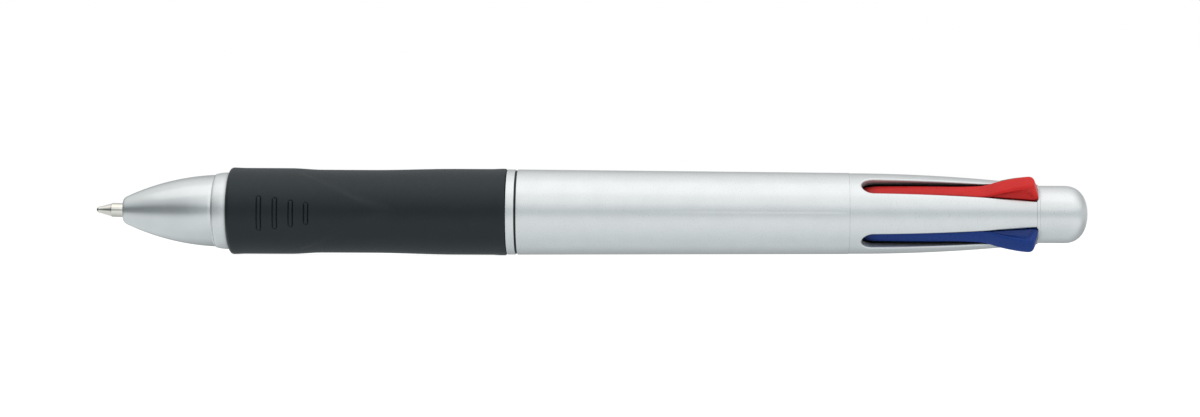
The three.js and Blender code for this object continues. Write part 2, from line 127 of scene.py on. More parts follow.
def placing(origin, along=(1, 0, 0), outward=(0, 1, 0)):
    """The matrix that takes millimetres along, outward and across to the row frame."""
    along = Vector(along).normalized()
    across = along.cross(Vector(outward)).normalized()
    outward = across.cross(along)
    matrix = Matrix((along, outward, across)).transposed().to_4x4()
    return Matrix.Translation(origin) @ matrix @ Matrix.Scale(MM, 4)


PEN = placing(NOSE)


def housing_radius(station, barrel_end):
    """Outer radius of the rear housing, which curves inwards from the barrel's end."""
    return HOUSING_FRONT - (station - barrel_end) ** 2 / HOUSING_ARC


def housing_bore(station, barrel_end):
    return np.minimum(HOUSING_BORE, housing_radius(station, barrel_end) - HOUSING_WALL)


def outward_of(colour):
    """The direction from the pen's axis to a slider."""
    seat = JOINTS[f"{colour}_refill_flex"]["pos_m"]
    return Vector((0, seat[1], seat[2])).normalized()


def slider_placing(colour):
    """Where a slider stands at rest. The refill that is out has its slider moved by the whole travel."""
    slide = JOINTS[f"{colour}_slide"]
    moved = Vector(slide["axis"]) * -slide["range_m"][0]
    return placing(NOSE + moved, outward=outward_of(colour))


def refill_placing(colour):
    """The refill's own frame: its origin is the front of the ball, and it runs back to its seat."""
    seat = Vector(JOINTS[f"{colour}_refill_flex"]["pos_m"])
    low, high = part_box(f"{colour}_writing_ball")
    ball = (low + high) / 2
    along = (seat - ball).normalized()
    return placing(ball - along * BALL_CENTRE * MM, along, outward_of(colour))


# ---------------------------------------------------------------- mesh helpers

class Shell:
    """Points in millimetres and faces, gathered into one mesh."""

    def __init__(self):
        self.points, self.faces = [], []

    def grid(self, rows, wrap_rows=False, wrap_columns=False):
        """Quads between the rows of an array of points shaped (rows, columns, 3)."""
        rows = np.asarray(rows, float)
        count, width = rows.shape[:2]
        base = len(self.points)
        self.points.extend(rows.reshape(-1, 3).tolist())
        for i in range(count if wrap_rows else count - 1):
            near, far = base + i * width, base + (i + 1) % count * width
            for j in range(width if wrap_columns else width - 1):
                k = (j + 1) % width
                self.faces.append((near + j, far + j, far + k, near + k))

    def polygon(self, points):
        base = len(self.points)
        self.points.extend([tuple(p) for p in points])
        self.faces.append(tuple(range(base, len(self.points))))

    def lathe(self, profile, angles, centre=0.0, loop=True):
        """Turns a profile of stations and radii. A loop profile closes on itself."""
        self.grid(turned(profile, angles, centre), wrap_rows=loop, wrap_columns=True)


def circle(count):
    return np.arange(count) * 2 * math.pi / count


def turned(profile, angles, centre=0.0):
    station, radius = (np.asarray(c, float)[:, None] for c in zip(*profile))
    around = np.asarray(angles)[None, :]
    flat = station + 0 * around
    return np.stack([flat, centre + radius * np.cos(around), radius * np.sin(around)], axis=-1)


def rounded(points, loop=True, steps=5):
    """Points are (station, radius) or (station, radius, reach of the curve that replaces the corner)."""
    out = []
    last = len(points) - 1
    for i, (station, radius, *fillet) in enumerate(points):
        here = np.array((station, radius), float)
        if not fillet or (not loop and i in (0, last)):
            out.append(tuple(here))
            continue
        before = np.array(points[i - 1][:2], float) - here
        after = np.array(points[(i + 1) % len(points)][:2], float) - here
        reach = min(fillet[0], 0.48 * np.linalg.norm(before), 0.48 * np.linalg.norm(after))
        before, after = (v / np.linalg.norm(v) * reach for v in (before, after))
        for t in np.linspace(0, 1, steps + 1):
            out.append(tuple(here + (1 - t) ** 2 * before + t**2 * after))
    return out


def ease(start, end, value):
    """0 before start, 1 after end, and smooth between them."""
    t = np.clip((np.asarray(value, float) - start) / (end - start), 0, 1)
    return t * t * (3 - 2 * t)


def softened(points, blur):
    """A curve through points, with its corners blurred over that many millimetres."""
    knots, values = (np.array(c, float) for c in zip(*points))
    fine = np.arange(knots[0] - 4 * blur, knots[-1] + 4 * blur, blur / 5)
    kernel = np.exp(-0.5 * (np.arange(-15, 16) / 5) ** 2)
    padded = np.interp(np.concatenate([fine[0] + np.arange(-15, 0) * blur / 5, fine,
                                       fine[-1] + np.arange(1, 16) * blur / 5]), knots, values)
    smooth = np.convolve(padded, kernel / kernel.sum(), mode="valid")
    return lambda station: np.interp(station, fine, smooth)


def piece(name, shell, slot, nodes, place=PEN, sharp=40, ride=True):
    """Makes the mesh object with its look. It stands for its CAD nodes and rides on their body."""
    mesh = bpy.data.meshes.new(name)
    mesh.from_pydata(shell.points, [], shell.faces)
    mesh.transform(place)
    work = bmesh.new()
    work.from_mesh(mesh)
    bmesh.ops.remove_doubles(work, verts=work.verts, dist=3e-7)
    bmesh.ops.dissolve_degenerate(work, edges=work.edges, dist=1e-8)
    bmesh.ops.recalc_face_normals(work, faces=work.faces)
    work.to_mesh(mesh)
    work.free()
    mesh.polygons.foreach_set("use_smooth", [True] * len(mesh.polygons))
    mesh.set_sharp_from_angle(angle=math.radians(sharp))
    mesh.materials.append(LOOKS[slot])
    thing = bpy.data.objects.new(name, mesh)
    bpy.context.scene.collection.objects.link(thing)
    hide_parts(*nodes)
    if ride:
        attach(thing, frame["nodes"][nodes[0]]["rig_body"])
    return thing


# ---------------------------------------------------------------- looks

class Look:
    """A procedural material that is being put together. Its textures use the row frame."""

    def __init__(self, slot, **inputs):
        self.slot = slot
        self.material = bpy.data.materials.new(slot)
        self.material.use_nodes = True
        self.tree = self.material.node_tree
        self.shader = self.tree.nodes["Principled BSDF"]
        self.place = self.node("ShaderNodeTexCoord").outputs["Object"]
        for name, value in inputs.items():
            self.shader.inputs[name.replace("_", " ")].default_value = value

    def node(self, kind, **inputs):
        made = self.tree.nodes.new(kind)
        for name, value in inputs.items():
            made.inputs[name.replace("_", " ")].default_value = value
        return made

    def link(self, output, target):
        self.tree.links.new(output, self.shader.inputs[target] if isinstance(target, str) else target)

    def noise(self, per_mm, stretch=(1, 1, 1), detail=2.0):
        """Noise with that many waves to the millimetre, from about 0.3 to 0.7."""
        scale = [per_mm * s / MM for s in stretch]
        mapping = self.node("ShaderNodeMapping", Scale=scale)
        self.link(self.place, mapping.inputs["Vector"])
        noise = self.node("ShaderNodeTexNoise", Scale=1.0, Detail=detail)
        self.link(mapping.outputs["Vector"], noise.inputs["Vector"])
        return noise.outputs["Fac"]

    def ranged(self, value, low, high, source=(0.3, 0.7)):
        start, end = source
        made = self.node("ShaderNodeMapRange", From_Min=start, From_Max=end, To_Min=low, To_Max=high)
        self.link(value, made.inputs["Value"])
        return made.outputs["Result"]

    def tint(self, value, dark, light, deepest_painted_shade=1.0, own_shape=True, reach_mm=3.0, openness=(0.5, 0.97)):
        """The base colour runs from dark to light with value.

        Hollows get painted shade: ambient occlusion darkens the base colour, down to the deepest factor at
        the lower openness, and not at all from the upper one.
        """
        mix = self.node("ShaderNodeMix")
        mix.data_type = "RGBA"
        colour_a, colour_b = (s for s in mix.inputs if s.type == "RGBA")
        colour_a.default_value, colour_b.default_value = (*dark, 1), (*light, 1)
        self.link(self.ranged(value, 0, 1), mix.inputs["Factor"])
        colour = next(s for s in mix.outputs if s.type == "RGBA")
        if deepest_painted_shade < 1:
            # painted shade: ambient occlusion scales the base colour down in hollows and between parts
            hollow = self.node("ShaderNodeAmbientOcclusion", Distance=reach_mm * MM)
            hollow.samples = 8
            hollow.only_local = own_shape
            shade = self.node("ShaderNodeVectorMath")
            shade.operation = "SCALE"
            self.link(colour, shade.inputs[0])
            self.link(self.ranged(hollow.outputs["AO"], deepest_painted_shade, 1, openness), shade.inputs["Scale"])
            colour = shade.outputs["Vector"]
        self.link(colour, "Base Color")

    def relief(self, height, depth_mm, strength=1.0):
        """Adds a bump on top of any earlier one."""
        bump = self.node("ShaderNodeBump", Strength=strength, Distance=depth_mm * MM)
        self.link(height, bump.inputs["Height"])
        earlier = self.shader.inputs["Normal"].links
        if earlier:
            self.link(earlier[0].from_socket, bump.inputs["Normal"])
        self.link(bump.outputs["Normal"], "Normal")


def scaled(colour, factor):
    return tuple(min(1.0, c * factor) for c in colour)


def satin_silver():
    """Silver lacquer on plastic: soft metallic flakes under a thin clear coat, with painted shade in slots
    and seams.
    """
    look = Look("satin_silver", Metallic=0.62, Coat_Weight=0.55, Coat_Roughness=0.07, Coat_IOR=1.5)
    # painted shade: slot walls, seams and gaps are darkened by occlusion from this and other parts
    look.tint(look.noise(0.35), (0.765, 0.785, 0.79), (0.795, 0.815, 0.82),
              deepest_painted_shade=0.07, own_shape=False, reach_mm=1.2, openness=(0.5, 0.84))
    look.link(look.ranged(look.noise(9), 0.27, 0.35), "Roughness")
    look.relief(look.noise(14, detail=1), 0.0016)
    look.relief(look.noise(0.6), 0.004, 0.25)
    return look


def cone_silver():
    """Turned and satin-plated metal, with the finest rings around it."""
    look = Look("cone_silver", Metallic=0.8, Coat_Weight=0.1, Coat_Roughness=0.15)
    look.tint(look.noise(0.5, (1, 0.3, 0.3)), (0.73, 0.755, 0.76), (0.76, 0.785, 0.79))
    look.link(look.ranged(look.noise(3, (1, 0.1, 0.1)), 0.22, 0.25), "Roughness")
    look.relief(look.noise(11, (1, 0.02, 0.02)), 0.0001)
    return look


def rubber(slot, grain_mm):
    """Black rubber with a fine matt grain, a little dust in it, and painted shade in its grooves."""
    look = Look(slot, Sheen_Weight=0.05, Sheen_Roughness=0.45, Specular_IOR_Level=0.5)
    look.shader.inputs["Sheen Tint"].default_value = (0.55, 0.75, 1.0, 1)
    look.shader.inputs["Specular Tint"].default_value = (0.78, 0.93, 1.0, 1)
    # painted shade: occlusion within the piece darkens the grooves and steps
    look.tint(look.noise(0.5, detail=4), (0.0036, 0.0042, 0.0044), (0.0052, 0.006, 0.0062), deepest_painted_shade=0.3)
    look.link(look.ranged(look.noise(2.5), 0.38, 0.46), "Roughness")
    look.relief(look.noise(7, detail=3), grain_mm)
    look.relief(look.noise(0.8), 0.006, 0.4)
    return look


def moulded(slot, colour, roughness=0.3, scatter=0.06):
    """Glossy moulded plastic: slight flow marks, fine texture from the mould, and painted shade where other
    parts come close.
    """
    look = Look(slot, Coat_Weight=0.02, Coat_Roughness=0.12, Specular_IOR_Level=0.22)
    look.shader.inputs["Subsurface Weight"].default_value = scatter
    look.shader.inputs["Subsurface Scale"].default_value = 0.4 * MM
    look.shader.inputs["Subsurface Radius"].default_value = scaled(colour, 3)
    # painted shade: occlusion from nearby parts darkens the base colour, as on the sliders' sides under the
    # slot edges
    look.tint(look.noise(0.4, (0.4, 1, 1), detail=4), scaled(colour, 0.93), scaled(colour, 1.06),
              deepest_painted_shade=0.2, own_shape=False, reach_mm=2.2, openness=(0.38, 0.96))
    look.link(look.ranged(look.noise(3), roughness - 0.04, roughness + 0.05), "Roughness")
    look.relief(look.noise(6), 0.0014)
    look.relief(look.noise(0.7, (0.5, 1, 1)), 0.006, 0.4)
    return look


def tube_plastic():
    """Milky clear tube with faint extrusion lines along it."""
    look = Look("tube_plastic", Transmission_Weight=0.8, IOR=1.49, Subsurface_Weight=0.1)
    look.shader.inputs["Subsurface Scale"].default_value = 0.3 * MM
    look.tint(look.noise(5, (0.02, 1, 1)), (0.83, 0.86, 0.86), (0.93, 0.95, 0.95))
    look.link(look.ranged(look.noise(6, (0.03, 1, 1)), 0.14, 0.26), "Roughness")
    look.relief(look.noise(6, (0.02, 1, 1)), 0.0015)
    return look


def ink(slot, colour):
    look = Look(slot, Coat_Weight=0.5, Coat_Roughness=0.05)
    look.tint(look.noise(0.9, (0.3, 1, 1), detail=4), scaled(colour, 0.75), scaled(colour, 1.2))
    look.link(look.ranged(look.noise(1.5), 0.08, 0.22), "Roughness")
    look.relief(look.noise(2), 0.004, 0.5)
    return look


def turned_metal(slot, colour, roughness, ring_mm):
    look = Look(slot, Metallic=1.0)
    look.tint(look.noise(1.2, (1, 0.4, 0.4)), scaled(colour, 0.93), scaled(colour, 1.04))
    look.link(look.ranged(look.noise(20, (1, 0.05, 0.05)), roughness - 0.05, roughness + 0.06), "Roughness")
    look.relief(look.noise(13, (1, 0.03, 0.03)), ring_mm)
    return look


LOOKS = {
    look.slot: look.material
    for look in (
        satin_silver(),
        cone_silver(),
        rubber("grip_rubber", 0.006),
        rubber("washer_rubber", 0.003),
        moulded("core_plastic", (0.012, 0.012, 0.013), 0.46, 0),
        moulded("red_plastic", (0.74, 0.02, 0.018)),
        moulded("blue_plastic", (0.006, 0.04, 0.24)),
        moulded("black_plastic", (0.014, 0.014, 0.016)),
        moulded("green_plastic", (0.012, 0.2, 0.07)),
        tube_plastic(),
        ink("red_ink", (0.45, 0.012, 0.015)),
        ink("blue_ink", (0.008, 0.02, 0.2)),
        ink("black_ink", (0.006, 0.006, 0.008)),
        ink("green_ink", (0.005, 0.12, 0.04)),
        turned_metal("point_metal", (0.8, 0.775, 0.71), 0.09, 0.0001),
        turned_metal("ball_metal", (0.12, 0.12, 0.13), 0.1, 0.0002),
        turned_metal("spring_steel", (0.55, 0.55, 0.56), 0.24, 0.0006),
    )
}


# ---------------------------------------------------------------- front section

def nose_cone():
    front, rear, _ = span("nose_cone")
    lip = span("lower_barrel")[0] + 0.12
    widest, widest_station, bend = 5.41, 15.5, 35
    arc = lambda s: widest - bend + math.sqrt(bend**2 - (s - widest_station) ** 2)
    outside = [(front, 1.25, 0.1), (front, 1.74, 0.08), (front + 0.18, 1.93, 0.08)]
    outside += [(s, arc(s)) for s in np.linspace(front + 0.35, lip - 0.42, 46)]
    outside += [(lip - 0.22, 5.33, 0.1), (lip - 0.07, 5.5, 0.04), (lip, 5.53, 0.03)]
    outside += [(lip, 4.55), (rear, 4.55, 0.2)]
    bore = [(rear, 4.05, 0.1), (8.2, 4.05), (4.8, 3.15), (1.5, 1.25)]
    shell = Shell()
    shell.lathe(rounded(outside + bore), circle(128))
    piece("nose_cone_shell", shell, "cone_silver", ["nose_cone"])


def helix_ridge(shell, radius, start, pitch, turns, height, steps=40):
    """A rounded thread that fades in and out at its ends."""
    count = int(turns * steps) + 1
    t = np.linspace(0, 1, count)
    angle = t * turns * 2 * math.pi
    fade = ease(0, 0.06, t) * ease(0, 0.06, 1 - t)
    rows = []
    for side, top in ((-0.34, 0), (-0.16, 0.8), (0, 1), (0.16, 0.8), (0.34, 0)):
        lift = radius - 0.06 + (height + 0.06) * top * fade
        station = start + t * turns * pitch + side * pitch * 0.5
        rows.append(np.stack([station, lift * np.cos(angle), lift * np.sin(angle)], axis=-1))
    shell.grid(rows)


def lower_barrel():
    front, rear, ring = span("lower_barrel")
    grip_front, grip_rear, _ = span("grip_sleeve")
    washer = span("seam_washer")[0]
    collar, core = 5.76, 4.75
    start = front + 0.14  # behind the cone's lip
    outside = [
        (start, 5.53, 0.02),
        (front + 0.5, 5.63, 0.15),
        (front + 1.1, 5.72, 0.25),
        (front + 1.6, collar, 0.25),
        (grip_front - 0.04, collar, 0.08),
        (grip_front - 0.04, 5.1),
        (grip_rear + 0.04, 5.1),
        (grip_rear + 0.04, ring, 0.1),
        (washer - 0.02, ring, 0.12),
        (washer - 0.02, core),
        (rear, core, 0.3),
    ]
    bore = [(rear, 4.25, 0.1), (19.2, 4.25), (19.2, 4.7), (start, 4.7, 0.1)]
    shell = Shell()
    shell.lathe(rounded(outside + bore), circle(128))
    helix_ridge(shell, core, washer + 1.1, pitch=1.5, turns=3, height=0.26)
    piece("lower_barrel_tube", shell, "satin_silver", ["lower_barrel"])


def grip_radius(station, angle, front, rear):
    """The grip's surface: a pad with bars on two sides, and a shallow scoop behind a V-shaped crease."""
    body = 6.44
    lip = 0.06 * (1 - ease(front + 0.7, front + 2.2, station)) + 0.06 * ease(rear - 2.2, rear - 0.8, station)
    radius = body + lip
    half_turn = math.pi
    off_pad = np.minimum(np.abs(angle % half_turn), half_turn - np.abs(angle % half_turn))
    reach = 1 - off_pad / math.radians(64)
    crease = 26.2 + 12.6 * (reach + np.sqrt(reach**2 + 0.01)) / 2
    off_degrees = np.degrees(off_pad)
    sharp = ease(8, 24, off_degrees) * (1 - ease(56, 78, off_degrees))
    behind = station - crease
    scoop = sharp * ease(-0.5, 0.9, behind) + (1 - sharp) * ease(-0.9, 3.6, behind)
    depth = 0.13 + 0.06 * ease(50, 80, off_degrees)
    radius = radius - depth * scoop * (1 - ease(37.5, 50, station))
    radius = radius - 0.03 * ease(22, 34, station) * (1 - ease(38, 50, station))
    for column in BAR_ANGLES:
        turn = (angle - column + math.pi) % (2 * math.pi) - math.pi
        for middle, length in BARS:
            across = np.maximum(np.abs(turn) * body - (length - BAR_WIDTH) / 2, 0)
            edge = np.hypot(across, station - middle) - BAR_WIDTH / 2
            raised = 0.05 * (1 - ease(-0.14, 0.0, edge))
            groove = 0.12 * np.exp(-(((edge - 0.07) / 0.07) ** 2))
            radius = radius + raised - groove
    return radius


def grip_sleeve():
    front, rear, _ = span("grip_sleeve")
    stations = [*np.arange(front + 0.9, rear - 0.9, 0.55)]
    for middle, _length in BARS:
        stations = [s for s in stations if abs(s - middle) > 0.72]
        stations += [*np.arange(middle - 0.7, middle + 0.701, 0.056)]
    turn = np.linspace(0, math.pi / 2, 8)
    stations += [*(front + 0.5 * (1 - np.cos(turn))), *(rear - 0.3 * (1 - np.cos(turn)))]
    stations = np.array(sorted(stations))
    fine = math.radians(26)
    half = [*np.arange(-fine, fine, math.radians(0.5)), *np.arange(fine, math.pi - fine, math.radians(2.6))]
    angles = np.array([column + a for column in BAR_ANGLES for a in half])
    around, along = np.meshgrid(angles, stations)
    radius = grip_radius(along, around, front, rear)
    for end, size in ((front, 0.5), (rear, 0.3)):
        inset = np.clip(size - np.abs(along - end), 0, size)
        radius = radius - (size - np.sqrt(size**2 - inset**2))
    outside = np.stack([along, radius * np.cos(around), radius * np.sin(around)], axis=-1)
    bore = turned([(rear, 5.25), (front, 5.25)], angles)
    shell = Shell()
    shell.grid(np.concatenate([outside, bore]), wrap_rows=True, wrap_columns=True)
    piece("grip_rubber_sleeve", shell, "grip_rubber", ["grip_sleeve"], sharp=60)


def seam_washer():
    front, rear, radius = span("seam_washer")
    shell = Shell()
    shell.lathe(
        rounded([(front, radius, 0.08), (rear, radius, 0.08), (rear, 4.85, 0.05), (front, 4.85, 0.05)]),
        circle(128),
    )
    piece("seam_ring_washer", shell, "washer_rubber", ["seam_washer"])


# ---------------------------------------------------------------- barrel, housing and cap

def upper_barrel():
    front, rear, radius = span("upper_barrel")
    end_radius = 6.1
    along = lambda s: radius + (end_radius - radius) * (s - front) / (rear - front)
    outside = [(front, radius - 0.02, 0.1)]
    outside += [(s, along(s)) for s in np.linspace(front + 0.12, rear - 0.1, 60)]
    outside += [(rear, along(rear), 0.015)]
    bore = [(rear, 5.55, 0.1), (104.6, 5.55), (104.6, 5.2), (front, 5.2, 0.1)]
    seam = math.radians(0.7)
    near_seam = np.radians([-4, -2.6, -1.8, -1.2, -0.8, -0.4, 0, 0.4, 0.8, 1.2, 1.8, 2.6, 4])
    angles = np.concatenate([
        math.pi - seam + near_seam,
        np.radians(np.arange(6, 174, 2.4)) + math.pi - seam,
        near_seam + 2 * math.pi - seam,
        np.radians(np.arange(6, 174, 2.4)) + 2 * math.pi - seam,
    ])
    profile = rounded(outside + bore)
    rows = turned(profile, angles)
    # the mould's parting line: a hair-thin ridge on both sides that fades towards the grip
    off_seam = (angles - math.pi + seam + math.pi / 2) % math.pi - math.pi / 2
    ridge = 0.018 * np.exp(-((np.degrees(off_seam) / 0.85) ** 2))
    for i, (station, height) in enumerate(profile):
        if height > 5.8:
            fade = ease(74, 90, station) * ease(0, 0.5, rear - station)
            rows[i, :, 1:] *= (1 + ridge * fade / height)[:, None]
    shell = Shell()
    shell.grid(rows, wrap_rows=True, wrap_columns=True)
    piece("upper_barrel_tube", shell, "satin_silver", ["upper_barrel"])


def rear_housing():
    """Each quarter of the housing is a mesh whose lines follow the slot in its middle."""
    front, rear = span("rear_housing")[0], span("end_cap")[0] - 0.005
    barrel_end = span("upper_barrel")[1]
    start = barrel_end + 0.01
    rounding = 0.04  # of the rear edge

    def outer(station):
        inset = np.clip(rounding - (rear - station), 0, rounding)
        drop = rounding - np.sqrt(np.maximum(rounding**2 - inset**2, 0))
        return housing_radius(station, barrel_end) - drop

    def inner(station):
        return housing_bore(station, barrel_end)

    straight = SLOT_START + SLOT_NOSE
    near_end = [0, 0.01, 0.025, 0.045, 0.12, 0.3, 0.6]
    down = rear - np.array([*near_end, *np.arange(1.2, rear - straight - 0.3, 0.8)])
    bend = np.linspace(-math.pi / 2, math.pi / 2, 33)
    station = np.concatenate([down, straight - SLOT_NOSE * np.cos(bend), down[::-1]])
    lateral = np.concatenate([-SLOT_HALF + 0 * down, SLOT_HALF * np.sin(bend), SLOT_HALF + 0 * down])
    lean = np.stack([-np.cos(bend) / SLOT_NOSE, np.sin(bend) / SLOT_HALF])
    lean /= np.linalg.norm(lean, axis=0)
    lean_station = np.concatenate([0 * down, lean[0], 0 * down])
    lean_lateral = np.concatenate([-1 + 0 * down, lean[1], 1 + 0 * down])

    # the outer border of the quarter: back along one side, across the front, and along the other side
    eighth = math.pi / 4
    side = np.linspace(straight, start, 8)
    border_station = np.concatenate([down, side, start + np.zeros(17), side[::-1], down[::-1]])
    across = np.linspace(-eighth, eighth, 19)[1:-1]
    edge = eighth + np.zeros(len(down) + len(side))
    border_angle = np.concatenate([-edge, across, edge])

    def on_surface(s, y, radius):
        return np.stack([s, np.sqrt(radius**2 - y**2), y], axis=-1)

    def rows_to_border(s, y, radius_at, steps):
        begin = np.arcsin(y / radius_at(s))
        made = []
        for v in steps:
            here = s + (border_station - s) * v
            angle = begin + (border_angle - begin) * v
            radius = radius_at(here)
            made.append(np.stack([here, radius * np.cos(angle), radius * np.sin(angle)], axis=-1))
        return made

    rows = rows_to_border(station, lateral, inner, np.linspace(1, 0, 5))
    top = outer(station) - SLOT_RIM
    bottom = inner(station)
    rows += [on_surface(station, lateral, bottom + (top - bottom) * f) for f in (0.25, 0.5, 0.75)]
    for beta in np.linspace(0, math.pi / 2, 8):
        step = SLOT_RIM * (1 - math.cos(beta))
        s = station + lean_station * step
        y = lateral + lean_lateral * step
        rows.append(on_surface(s, y, outer(s) - SLOT_RIM * (1 - math.sin(beta))))
    s, y = station + lean_station * SLOT_RIM, lateral + lean_lateral * SLOT_RIM
    rows += rows_to_border(s, y, outer, [0.06, 0.14, 0.24, 0.36, 0.5, 0.65, 0.8, 0.92, 0.985, 1])
    quarter = np.array(rows)

    shell = Shell()
    for colour in COLOURS:
        out = outward_of(colour)
        turn = math.atan2(out.z, out.y)
        c, n = math.cos(turn), math.sin(turn)
        placed = quarter @ np.array([[1, 0, 0], [0, c, n], [0, -n, c]])
        shell.grid(placed)
        shell.polygon(placed[:, 0])
        shell.polygon(placed[:, -1])
    spigot = [
        (start, float(outer(start))),
        (start, 5.45),
        (front, 5.45, 0.2),
        (front, HOUSING_BORE, 0.1),
        (start, HOUSING_BORE),
    ]
    shell.lathe(rounded(spigot, loop=False), circle(72), loop=False)
    piece("rear_housing_shell", shell, "satin_silver", ["rear_housing"], sharp=50)


def end_cap():
    front, rear, flange = span("end_cap")
    shoulder, power, barrel, flat = 141.2, 2.3, 4.3, 1.0
    depth = (rear - shoulder) / (1 - (flat / barrel) ** power) ** (1 / power)
    last = math.acos((flat / barrel) ** (power / 2))
    crown = [
        (shoulder + depth * math.sin(a) ** (2 / power), barrel * math.cos(a) ** (2 / power))
        for a in np.linspace(0.03, last, 30)
    ]
    socket_end, socket = 141.6, 3.35
    profile = [
        (socket_end, 0),
        (socket_end, socket),
        (front, socket, 0.15),
        (front, flange, 0.03),
        (front + 0.42, flange, 0.08),
        (front + 0.5, barrel, 0.05),
        *[(s, barrel) for s in np.linspace(front + 0.8, shoulder, 8)],
        *crown,
        (rear, 0),
    ]
    shell = Shell()
    shell.lathe(rounded(profile, loop=False), circle(128), loop=False)
    piece("end_cap_shell", shell, "satin_silver", ["end_cap"])


def rounded_section(half_width, low, high, low_reach, high_reach, crown=0.0):
    """Outward and across coordinates around a bar's section, with a slightly crowned top."""
    points = []
    corners = (
        (1, low, low_reach, -90),
        (1, high, high_reach, 0),
        (-1, high, high_reach, 90),
        (-1, low, low_reach, 180),
    )
    for side, level, reach, turn in corners:
        centre = (level + reach if level == low else level - reach, side * (half_width - reach))
        for angle in np.radians(turn + np.linspace(0, 90, 7)):
            points.append((centre[0] + reach * math.sin(angle), centre[1] + reach * math.cos(angle)))
        if side == 1 and level == high:
            flat = half_width - reach
            points += [(high, y) for y in np.linspace(flat, -flat, 7)[1:-1]]
    points = np.array(points)
    bulge = crown * (1 - (points[:, 1] / half_width) ** 2) - crown
    points[:, 0] += np.where(points[:, 0] > (low + high) / 2, bulge, 0)
    return points


def latch_core():
    """A post with four fins, made as two crossed plates, and a plug in the end cap."""
    front, rear, _ = span("latch_core")
    housing_end, barrel_end = span("rear_housing")[1], span("upper_barrel")[1]
    post, plug, plug_start = 1.1, 3.2, 137.6
    half_fin, gap, in_cap, rounding = 0.35, 0.2, 3.15, 0.15
    start, end = 105.6, 138.5  # of the fins
    shell = Shell()
    profile = [(front, 0), (front, post, 0.35), (plug_start, post, 0.2)]
    profile += [(plug_start, plug, 0.15), (rear, plug, 0.15), (rear, 0)]
    shell.lathe(rounded(profile, loop=False), circle(64), loop=False)
    along = np.linspace(start + 0.5, housing_end, 30)
    stations = [start, start + 0.05, start + 0.15, *along, plug_start, end]
    for swap in (False, True):
        rows = []
        for station in stations:
            reach = float(housing_bore(station, barrel_end)) - gap
            reach = max(reach, in_cap) if station <= housing_end else in_cap
            inset = rounding - math.sqrt(rounding**2 - max(rounding - (station - start), 0) ** 2)
            ring = rounded_section(half_fin - inset, inset - reach, reach - inset, 0.1, 0.1)
            ring = ring[:, ::-1] * (1, -1) if swap else ring
            rows.append(np.column_stack([np.full(len(ring), station), ring]))
        shell.grid(rows, wrap_columns=True)
        shell.polygon(rows[0])
        shell.polygon(rows[-1])
    piece("latch_core_post", shell, "core_plastic", ["latch_core"])


def refill_guide():
    front, rear, radius = span("refill_guide")
    chamfer = 0.12
    outline_in, outline_out, opening = 2.2, 2.95, 1.45

    def stadium(turn, extra):
        points = []
        for centre, begin in ((outline_out, -90), (outline_in, 90)):
            for angle in np.radians(begin + np.linspace(0, 180, 17)):
                y, z = centre + (opening + extra) * math.cos(angle), (opening + extra) * math.sin(angle)
                points.append((y, z))
        c, n = math.cos(turn), math.sin(turn)
        return np.array(points) @ np.array([[c, n], [-n, c]])

    turns = [math.atan2(outward_of(c).z, outward_of(c).y) for c in COLOURS]
    loops = [lambda extra: (radius - extra) * np.column_stack([np.cos(circle(96)), np.sin(circle(96))])]
    loops += [lambda extra, turn=turn: stadium(turn, extra) for turn in turns]
    shell = Shell()
    for loop in loops:
        levels = ((front, chamfer), (front + 0.4 * chamfer, 0.3 * chamfer), (front + chamfer, 0))
        levels += tuple((front + rear - s, e) for s, e in levels[::-1])
        rows = [np.column_stack([np.full(len(loop(0)), s), loop(e)]) for s, e in levels]
        shell.grid(rows, wrap_columns=True)
    flat = [np.column_stack([0 * loop(0)[:, 0], loop(chamfer)]) for loop in loops]
    points = np.concatenate(flat)
    triangles = tessellate_polygon([[Vector((y, z, 0)) for _, y, z in part] for part in flat])
    for station in (front, rear):
        base = len(shell.points)
        shell.points.extend((points + (station, 0, 0)).tolist())
        shell.faces.extend(tuple(base + i for i in triangle) for triangle in triangles)
    piece("refill_guide_disc", shell, "core_plastic", ["refill_guide"])


# ---------------------------------------------------------------- one colour: slider, refill and spring

# top of the thumb bump, as station and radius, before its rear end is leaned forwards
BUMP = [
    (127.4, 4.86),
    (128.3, 4.85),
    (129.0, 4.97),
    (129.7, 5.21),
    (130.52, 5.6),
    (131.55, 5.98),
    (132.83, 6.33),
    (134.0, 6.6),
    (135.0, 6.82),
    (136.06, 6.97),
    (137.05, 7.04),
]


